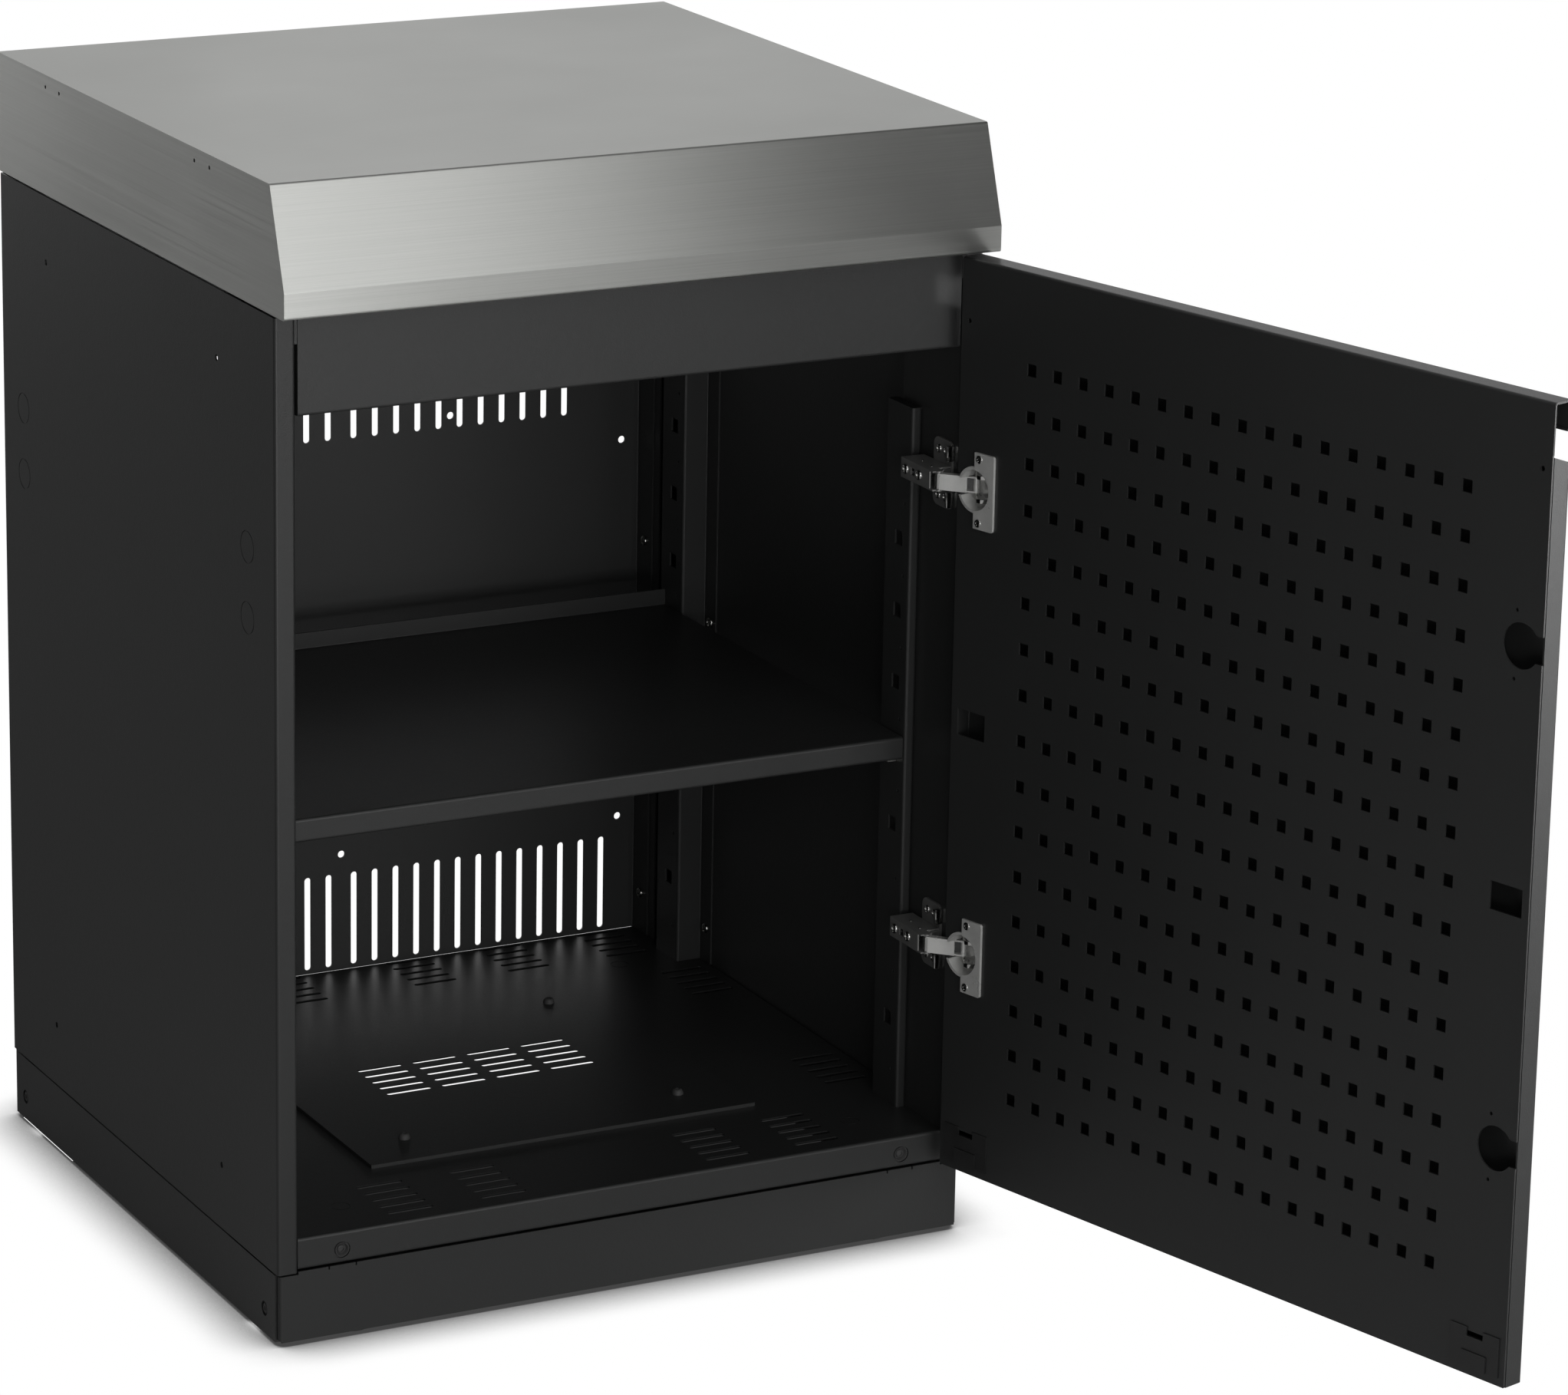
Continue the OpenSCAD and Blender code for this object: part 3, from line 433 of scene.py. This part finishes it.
def cross_outline(length):
    """Outline of a plus sign, as a radius towards each turn of CROSS.

    At the tips it is length over the larger of the turn's cosine and sine, and along the arms it is
    0.3 of length over the smaller.
    """
    share = 0.3
    cosine = np.abs(np.cos(CROSS))
    sine = np.abs(np.sin(CROSS))
    wide = np.maximum(cosine, sine)
    narrow = np.minimum(cosine, sine)
    on_tip = narrow <= (share + 0.001) * wide
    return np.where(on_tip, length / wide, share * length / np.maximum(narrow, 0.1))


def cross_screw(radius, height, shaft, length, recess):
    """A pan head from Z of 0 to height with a cross recess, over a shaft that reaches length below."""
    radii = [shaft, shaft, radius, radius, 0.95 * radius, 0.82 * radius, 0.64 * radius]
    heights = [-length, 0, 0, 0.2 * height, 0.6 * height, 0.88 * height, height]
    radii += [cross_outline(0.55 * radius), cross_outline(0.42 * radius)]
    heights += [height, height - recess]
    return revolved(radii, heights, CROSS)


def socket_screw(radius, height, shaft, length, socket):
    """A button head from Z of 0 to height with a hexagon socket, over a shaft that reaches length below."""
    turns = even(24)
    hole = hexagon(socket, turns)
    radii = [shaft, shaft, radius, radius, 0.93 * radius, 0.76 * radius, 0.56 * radius]
    heights = [-length, 0, 0, 0.22 * height, 0.6 * height, 0.88 * height, height]
    radii += [hole * 1.05, hole * 0.95]
    heights += [height, 0.4 * height]
    return revolved(radii, heights, turns)


def rounded_bar(width, depth, length):
    """A bar along Z, with softened ends: the fifth powers of X and Y in half widths add up to 1."""
    turns = even(24)
    power = 5
    section = np.abs(2 * np.cos(turns) / width) ** power + np.abs(2 * np.sin(turns) / depth) ** power
    section = section ** (-1 / power)
    shares = [0.72, 0.92, 1, 1, 0.92, 0.72]
    heights = np.array([-0.5, -0.48, -0.44, 0.44, 0.48, 0.5]) * length
    return revolved([section * share for share in shares], heights, turns)


# Pieces, and where they go


def placed(surface, place, axis):
    """The surface moved to place, its Z along axis and its X along Z, or along X if axis is upright."""
    axis = Vector(axis).normalized()
    across = Vector((1, 0, 0) if axis.z else (0, 0, 1))
    side = across - axis * across.dot(axis)
    side.normalize()
    turn = np.array(Matrix((side, axis.cross(side), axis)))
    points, faces = surface
    return points @ turn + np.array(place), faces


def mirrored(surface, axis, across, depths, heights):
    """The surface left and right of the middle, at each depth and height, along axis on the right side."""
    return [
        placed(surface, (side * across, depth, height), (side * axis[0], axis[1], axis[2]))
        for side in SIDES
        for depth in depths
        for height in heights
    ]


def piece(name, surfaces, slot, body, replaced=()):
    """One object of closed surfaces that rides on a body, in the finish of a slot."""
    points, faces, start = [], [], 0
    for surface_points, surface_faces in surfaces:
        points.append(surface_points)
        faces += [[corner + start for corner in face] for face in surface_faces]
        start += len(surface_points)
    mesh = bpy.data.meshes.new(name)
    mesh.from_pydata(np.vstack(points).tolist(), [], faces)
    mesh.polygons.foreach_set("use_smooth", np.ones(len(faces), bool))
    mesh.set_sharp_from_angle(angle=math.radians(32))
    mesh.materials.append(bpy.data.materials[slot])
    made = bpy.data.objects.new(name, mesh)
    bpy.context.scene.collection.objects.link(made)
    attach(made, body)
    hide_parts(*replaced)


def middle(node):
    """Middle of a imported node's box."""
    low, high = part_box(node)
    return (np.array(low) + np.array(high)) / 2


def on_door(along, into, height):
    """Places on the open door: along from its hinge edge, into its thickness, and height."""
    start = np.array((*DOOR_CORNER, height))
    return start + along * np.array((*DOOR_ALONG, 0)) + into * np.array((*DOOR_INTO, 0))


# The operators: one for each group of like pieces, and one for the stage


class CABINET_OT_finishes(bpy.types.Operator):
    """Gives every carried-over part of the cabinet its finish"""

    bl_idname = "cabinet.finishes"
    bl_label = "Finishes"

    def execute(self, context):
        look = context.scene.cabinet_finishes
        finishes = {
            "powder_coat": powder_coat(look.powder),
            "brushed_steel": brushed_steel(look.steel),
            "hinge_nickel": plated("hinge_nickel", look.nickel, roughness=0.36, metallic=0.6),
            "hinge_bright": plated("hinge_bright", look.bright, roughness=0.3, metallic=0.45),
            "zinc_steel": plated("zinc_steel", look.zinc, roughness=0.3),
            "black_plastic": moulded("black_plastic", look.plastic, roughness=0.34, grain=1500),
            "rubber": moulded("rubber", look.rubber, roughness=0.6, grain=1100),
        }
        for node, part in frame["nodes"].items():
            part.data.materials.clear()
            part.data.materials.append(finishes[SLOT_OF[node]])
        return {"FINISHED"}


class CABINET_OT_carcass_screws(bpy.types.Operator):
    """Puts cross recessed screws in the carcass and socket screws in its base"""

    bl_idname = "cabinet.carcass_screws"
    bl_label = "Carcass screws"

    def execute(self, context):
        sizes = context.scene.cabinet_fasteners
        self.back_and_uprights(sizes.recess)
        self.worktop(sizes.recess)
        self.tray(sizes.socket)
        self.plinth(sizes.socket)
        self.lip(sizes.socket)
        return {"FINISHED"}

    def back_and_uprights(self, recess):
        """Three screws down each edge of the back panel, and three in each rear upright."""
        long = cross_screw(radius=0.0045, height=0.002, shaft=0.002, length=0.008, recess=recess)
        heads = mirrored(long, INWARD, across=0.2845, depths=[0.267], heights=[0.125, 0.451, 0.720])
        piece("back_panel_screw_heads", heads, "zinc_steel", "frame", ["back_panel_screws"])
        short = cross_screw(radius=0.0045, height=0.002, shaft=0.002, length=0.0015, recess=recess)
        heads = mirrored(short, INWARD, across=0.300, depths=[0.168], heights=[0.120, 0.400, 0.660])
        piece("upright_screw_heads", heads, "zinc_steel", "frame", ["upright_screws"])

    def worktop(self, recess):
        """Four screws on each side, through the brackets that carry the worktop."""
        screw = cross_screw(radius=0.0045, height=0.002, shaft=0.002, length=0.0015, recess=recess)
        depths = [-0.169, -0.139, 0.145, 0.175]
        heads = mirrored(screw, INWARD, across=0.300, depths=depths, heights=[0.8045])
        piece("worktop_screw_heads", heads, "zinc_steel", "frame", ["worktop_screws"])

    def tray(self, socket):
        """A domed screw at each corner of the raised tray."""
        screw = socket_screw(radius=0.0048, height=0.0045, shaft=0.002, length=0.010, socket=socket)
        heads = mirrored(screw, UP, across=0.124, depths=[-0.129, 0.119], heights=[0.092])
        piece("tray_screw_heads", heads, "black_plastic", "frame", ["tray_screws"])

    def plinth(self, socket):
        """Two low screws in each side of the plinth."""
        screw = socket_screw(radius=0.0043, height=0.0014, shaft=0.0025, length=0.010, socket=socket)
        heads = mirrored(screw, OUTWARD, across=0.3015, depths=[-0.261, 0.261], heights=[0.024])
        piece("plinth_screw_heads", heads, "black_plastic", "frame", ["plinth_screws"])

    def lip(self, socket):
        """Two screws in the floor's front lip, each sunk in the dish of a cup washer."""
        dish = revolved(
            [0.0080, 0.0085, 0.0085, 0.0080, 0.0059, 0.0059, 0.0057, 0.0054, 0.0050, 0.0041, 0.0030],
            [-0.0034, -0.0031, -0.0019, -0.0016, -0.0016, -0.0001, 0.0003, 0.0003, -0.0002, -0.0024, -0.0024],
            even(32),
        )
        screw = socket_screw(radius=0.0036, height=0.0016, shaft=0.0022, length=0.0085, socket=socket)
        across = 0.2485
        height = 0.074
        face = -0.288
        seat = -0.2856
        washers = mirrored(dish, FORWARD, across, [face], [height])
        screws = mirrored(screw, FORWARD, across, [seat], [height])
        piece("lip_screw_heads", washers + screws, "black_plastic", "frame", ["lip_screws"])


class CABINET_OT_hinge_fittings(bpy.types.Operator):
    """Puts the screws, rivets, tabs, eyes and levers on the two hinges"""

    bl_idname = "cabinet.hinge_fittings"
    bl_label = "Hinge fittings"

    def execute(self, context):
        sizes = context.scene.cabinet_fasteners
        self.heights = [float(middle(f"hinge_plate_{end}")[2]) for end in ENDS]
        self.flange_screws(sizes.recess)
        self.wing_screws(sizes.recess)
        self.clamp_screws(sizes.recess)
        self.rivets()
        self.tabs()
        self.eyes()
        self.levers(sizes.lever)
        return {"FINISHED"}

    def around(self, spread):
        """Heights at spread below and above the middle of each hinge, with the side that each is on."""
        return [(height + side * spread, side) for height in self.heights for side in SIDES]

    def flange_screws(self, recess):
        """Two flat screws through each cup's flange, whose outer face stands 2 mm proud of the door."""
        screw = cross_screw(radius=0.0034, height=0.0009, shaft=0.0015, length=0.008, recess=0.4 * recess)
        outward = (-DOOR_INTO[0], -DOOR_INTO[1], 0)
        cup_from_edge = 0.026
        flange = -0.002
        heads = [
            placed(screw, on_door(cup_from_edge, flange, height), outward)
            for height, _ in self.around(0.026)
        ]
        piece("hinge_flange_screws", heads, "hinge_bright", "door", ["hinge_cup_screws"])

    def wing_screws(self, recess):
        """Two screws in each wing of the mounting plates."""
        screw = cross_screw(radius=0.0036, height=0.0015, shaft=0.002, length=0.002, recess=recess)
        plate = 0.284
        heads = [
            placed(screw, (plate, depth, height), INWARD)
            for height, _ in self.around(0.019)
            for depth in (-0.271, -0.259)
        ]
        piece("hinge_wing_screws", heads, "hinge_bright", "frame", ["hinge_plate_screws"])

    def clamp_screws(self, recess):
        """The clamp screw and the adjusting screw through each arm."""
        screw = cross_screw(radius=0.0042, height=0.0018, shaft=0.0025, length=0.017, recess=1.3 * recess)
        arm = 0.2633
        heads = [
            placed(screw, (arm, depth, height), INWARD)
            for height in self.heights
            for depth in (-0.264, -0.242)
        ]
        piece("hinge_clamp_screws", heads, "hinge_bright", "frame", ["hinge_arm_screws"])

    def rivets(self):
        """Two rivets on the lower and upper cheek of each arm."""
        rivet = revolved([0.0012, 0.0012, 0.0009, 0.0004], [-0.0004, 0.0002, 0.0006, 0.0008], even(12))
        heads = [
            placed(rivet, (across, depth, height), (0, 0, side))
            for height, side in self.around(0.0082)
            for across, depth in ((0.2725, -0.252), (0.2705, -0.271))
        ]
        piece("hinge_rivets", heads, "hinge_bright", "frame")

    def tabs(self):
        """A rolled tab at the front of each wing."""
        tab = rounded_bar(width=0.0066, depth=0.0034, length=0.0128)
        bars = [placed(tab, (0.2828, -0.2791, height), UP) for height, _ in self.around(0.019)]
        piece("hinge_tabs", bars, "hinge_bright", "frame")

    def eyes(self):
        """The barrel of each link's eye, round the arm's pivot."""
        barrel = revolved(
            [0.0022, 0.0028, 0.0030, 0.0030, 0.0028, 0.0022],
            [-0.0064, -0.0063, -0.0060, 0.0060, 0.0063, 0.0064],
            even(24),
        )
        for end, height in zip(ENDS, self.heights):
            eye = placed(barrel, (0.2690, -0.2857, height), UP)
            piece(f"hinge_eye_{end}", [eye], "hinge_bright", BODY_OF[f"hinge_link_{end}"])

    def levers(self, thickness):
        """Two bent levers in each cup: a strip along a path on the door, from its edge and into it."""
        half_width = 0.0018
        path = [
            (0.0105, 0.0118),
            (0.0150, 0.0072),
            (0.0195, 0.0032),
            (0.0235, 0.0030),
            (0.0270, 0.0062),
            (0.0295, 0.0110),
        ]
        points, faces = ribbon(path, thickness, -half_width, half_width)
        surfaces = []
        for height, _ in self.around(0.0096):
            spots = on_door(points[:, 0:1], points[:, 1:2], height)
            spots[:, 2] += points[:, 2]
            surfaces.append((spots, faces))
        piece("hinge_levers", surfaces, "hinge_bright", "door")


class CABINET_OT_feet(bpy.types.Operator):
    """Makes the four levelling feet, each a threaded stud with a nut on a ribbed disc"""

    bl_idname = "cabinet.feet"
    bl_label = "Levelling feet"

    def execute(self, context):
        sizes = context.scene.cabinet_fasteners
        parts = (self.disc(sizes.ribs), self.nut(), self.stud(sizes.pitch))
        for node in FEET:
            on_floor = middle(node) * (1, 1, 0)
            surfaces = [placed(part, on_floor, UP) for part in parts]
            piece(f"{node}_detail", surfaces, "rubber", BODY_OF[node], [node])
        return {"FINISHED"}

    def disc(self, ribs):
        """The disc: its rim's radius rises and falls once for each rib, by a power of the cosine."""
        turns = even(6 * ribs)
        rib = 0.0006 * (0.5 + 0.5 * np.cos(turns * ribs)) ** 0.5
        radii = [0.0120, 0.0138, 0.0144 + rib, 0.0144 + rib, 0.0132, 0.0070]
        return revolved(radii, [0, 0.0002, 0.0012, 0.0054, 0.0064, 0.0070], turns)

    def nut(self):
        """The hexagon on the disc, with chamfered ends."""
        turns = even(24)
        outline = hexagon(0.0053, turns)
        radii = [outline * 0.94, outline, outline, outline * 0.94]
        return revolved(radii, [0.0068, 0.0072, 0.0088, 0.0092], turns)

    def stud(self, pitch):
        """The stud: its radius follows a wave that climbs one pitch in each turn."""
        low = 0.0090
        high = 0.0390
        radius = 0.00375
        end_radius = 0.0032
        thread = 0.00025
        rings_in_pitch = 5
        turns = even(16)
        heights = np.linspace(low, high, int((high - low) / pitch * rings_in_pitch) + 1)
        radii = radius + thread * np.cos(2 * np.pi * heights[:, None] / pitch - turns[None, :])
        radii[0] = radii[-1] = end_radius
        return revolved(radii, heights, turns)


class CABINET_OT_stage(bpy.types.Operator):
    """Sets the floor, the lamps, the white surroundings and the camera"""

    bl_idname = "cabinet.stage"
    bl_label = "Stage"

    def execute(self, context):
        studio = context.scene.cabinet_studio
        self.floor(studio)
        self.surroundings(context.scene, studio)
        # Each lamp's name, place, target, width and height, and power
        self.lamp("key", (-0.5, -6.2, 0.6), (-0.1, 0.0, 0.45), (5.4, 1.2), studio.key)
        self.lamp("front", (-0.05, -3.0, 1.95), (-0.05, 0.0, 1.95), (3.0, 1.9), studio.front)
        self.lamp("overhead", (-0.1, -2.8, 3.2), (-0.1, -2.5, 0.0), (3.2, 2.4), studio.over)
        self.lamp("rear", (2.3, 3.0, 1.6), (2.3, 0.0, 1.6), (2.6, 2.4), studio.rear)
        self.lamp("edge", (-0.9, 3.0, 0.9), (-0.9, 0.0, 0.9), (0.9, 1.6), studio.edge)
        self.lamp("side", (2.6, -2.2, 0.5), (0.4, -0.8, 0.4), (0.8, 0.9), studio.side)
        self.camera(context.scene, studio)
        context.scene.view_settings.view_transform = "Standard"
        return {"FINISHED"}

    def floor(self, studio):
        """A wide flat floor."""
        half = 14.0
        corners = [(-half, -half, 0), (half, -half, 0), (half, half, 0), (-half, half, 0)]
        mesh = bpy.data.meshes.new("studio_floor")
        mesh.from_pydata(corners, [], [(0, 1, 2, 3)])
        mesh.materials.append(self.floor_paint(studio))
        floor = bpy.data.objects.new("studio_floor", mesh)
        bpy.context.scene.collection.objects.link(floor)

    def floor_paint(self, studio):
        """Pale paint, white to the camera but for a painted contact shadow from ambient occlusion, and
        painted shade under the cabinet's front.
        """
        shadow_reach = 0.06
        shadow_dark = 0.06
        painted_shade_under_front = 0.03
        half_width = 0.3
        half_depth = 0.275
        rear_slots_y = 0.16
        paint = Recipe("studio_floor", studio.floor, Roughness=0.9)
        paint.tint(paint.noise(120, detail=3.0), studio.floor, low=0.995, high=1.005)
        # Painted contact shadow: the camera's white is darkened where ambient occlusion finds the cabinet
        # close by.
        openness = paint.node("ShaderNodeAmbientOcclusion", {"Distance": shadow_reach}, samples=16)
        shadow = paint.span(openness.outputs["AO"], shadow_dark, 1.0, start=0.4, end=0.95)
        place = paint.node("ShaderNodeSeparateXYZ", {0: paint.place}).outputs
        # Painted shade: under the cabinet the camera's white is darkened in front of the rear slots and left
        # white behind them.
        between_sides = paint.math("LESS_THAN", paint.math("ABSOLUTE", place["X"]), half_width)
        between_ends = paint.math("LESS_THAN", paint.math("ABSOLUTE", place["Y"]), half_depth)
        under = paint.math("MULTIPLY", between_sides, between_ends)
        painted_under_shade = paint.span(paint.math("GREATER_THAN", place["Y"], rear_slots_y), painted_shade_under_front, 1.0)
        white_with_painted_shade = paint.node("ShaderNodeMix", {"Factor": under, 2: shadow, 3: painted_under_shade}).outputs[0]
        white = paint.node("ShaderNodeEmission", {"Color": (1, 1, 1, 1), "Strength": white_with_painted_shade}).outputs[0]
        seen = paint.node("ShaderNodeLightPath").outputs["Is Camera Ray"]
        surface = paint.node("ShaderNodeMixShader", {0: seen, 1: paint.shader.outputs[0], 2: white})
        output = paint.tree.nodes["Material Output"]
        paint.tree.links.new(surface.outputs[0], output.inputs["Surface"])
        return paint.material

    def surroundings(self, scene, studio):
        """Even light all round, which is white to the camera, through glass, and to gloss toward the back."""
        world = bpy.data.worlds.new("studio")
        world.use_nodes = True
        sky = Tree(world.node_tree)
        ray = sky.node("ShaderNodeLightPath").outputs
        direction = sky.node("ShaderNodeTexCoord").outputs["Generated"]
        backward = sky.node("ShaderNodeSeparateXYZ", {0: direction}).outputs["Y"]
        gloss = sky.math("MULTIPLY", ray["Is Glossy Ray"], sky.span(backward, 0.0, 1.0, start=0.3))
        reached = sky.math("MAXIMUM", gloss, ray["Is Transmission Ray"])
        seen = sky.math("MAXIMUM", ray["Is Camera Ray"], reached)
        background = sky.tree.nodes["Background"]
        background.inputs["Color"].default_value = (1, 1, 1, 1)
        sky.tree.links.new(sky.span(seen, studio.ambient, 1.0), background.inputs["Strength"])
        scene.world = world

    def lamp(self, name, place, target, size, power):
        """A soft lamp, size wide and high, that faces its target."""
        light = bpy.data.lights.new(name, "AREA")
        light.shape = "RECTANGLE"
        light.size, light.size_y = size
        light.energy = power
        lamp = bpy.data.objects.new(name, light)
        aim = Vector(target) - Vector(place)
        lamp.location = place
        lamp.rotation_euler = aim.to_track_quat("-Z", "Y").to_euler()
        bpy.context.scene.collection.objects.link(lamp)

    def camera(self, scene, studio):
        """The photograph's camera: a long lens, front left of the cabinet and a little above it."""
        focal_pixels = 8045
        centre_x = 950
        centre_y = 750
        place = Vector((-2.05617, -4.42114, 1.87525))
        azimuth, elevation, roll = studio.azimuth, studio.elevation, studio.roll
        ahead = Vector((
            -math.sin(azimuth) * math.cos(elevation),
            math.cos(azimuth) * math.cos(elevation),
            -math.sin(elevation),
        ))
        level = Vector((math.cos(azimuth), math.sin(azimuth), 0))
        over = level.cross(ahead)
        right = level * math.cos(roll) + over * math.sin(roll)
        up = over * math.cos(roll) - level * math.sin(roll)
        lens = bpy.data.cameras.new("photo_camera")
        lens.lens = focal_pixels / PHOTO_WIDTH * lens.sensor_width
        lens.shift_x = (PHOTO_WIDTH / 2 - centre_x) / PHOTO_WIDTH
        lens.shift_y = (centre_y - PHOTO_HEIGHT / 2) / PHOTO_WIDTH
        camera = bpy.data.objects.new("photo_camera", lens)
        turn = Matrix((right, up, -ahead)).transposed().to_4x4()
        camera.matrix_world = Matrix.Translation(place) @ turn
        scene.collection.objects.link(camera)
        scene.camera = camera


class CABINET_PT_panel(bpy.types.Panel):
    """Sizes, colours and steps of the cabinet"""

    bl_idname = "CABINET_PT_panel"
    bl_label = "Outdoor kitchen cabinet"
    bl_space_type = "VIEW_3D"
    bl_region_type = "UI"
    bl_category = "Cabinet"

    def draw(self, context):
        for holder in GROUPS:
            group = getattr(context.scene, holder)
            for name in group.__annotations__:
                self.layout.prop(group, name)
        for step in STEPS:
            self.layout.operator(step.bl_idname)


GROUPS = {
    "cabinet_finishes": CabinetFinishes,
    "cabinet_fasteners": CabinetFasteners,
    "cabinet_studio": CabinetStudio,
}
STEPS = (
    CABINET_OT_finishes,
    CABINET_OT_carcass_screws,
    CABINET_OT_hinge_fittings,
    CABINET_OT_feet,
    CABINET_OT_stage,
)


def register():
    for group in GROUPS.values():
        bpy.utils.register_class(group)
    for step in STEPS:
        bpy.utils.register_class(step)
    bpy.utils.register_class(CABINET_PT_panel)
    for name, group in GROUPS.items():
        setattr(bpy.types.Scene, name, PointerProperty(type=group))


def unregister():
    for name in GROUPS:
        delattr(bpy.types.Scene, name)
    bpy.utils.unregister_class(CABINET_PT_panel)
    for step in reversed(STEPS):
        bpy.utils.unregister_class(step)
    for group in reversed(GROUPS.values()):
        bpy.utils.unregister_class(group)


def main():
    """Runs every step in order."""
    register()
    bpy.ops.cabinet.finishes()
    bpy.ops.cabinet.carcass_screws()
    bpy.ops.cabinet.hinge_fittings()
    bpy.ops.cabinet.feet()
    bpy.ops.cabinet.stage()


if __name__ == "__main__":
    main()
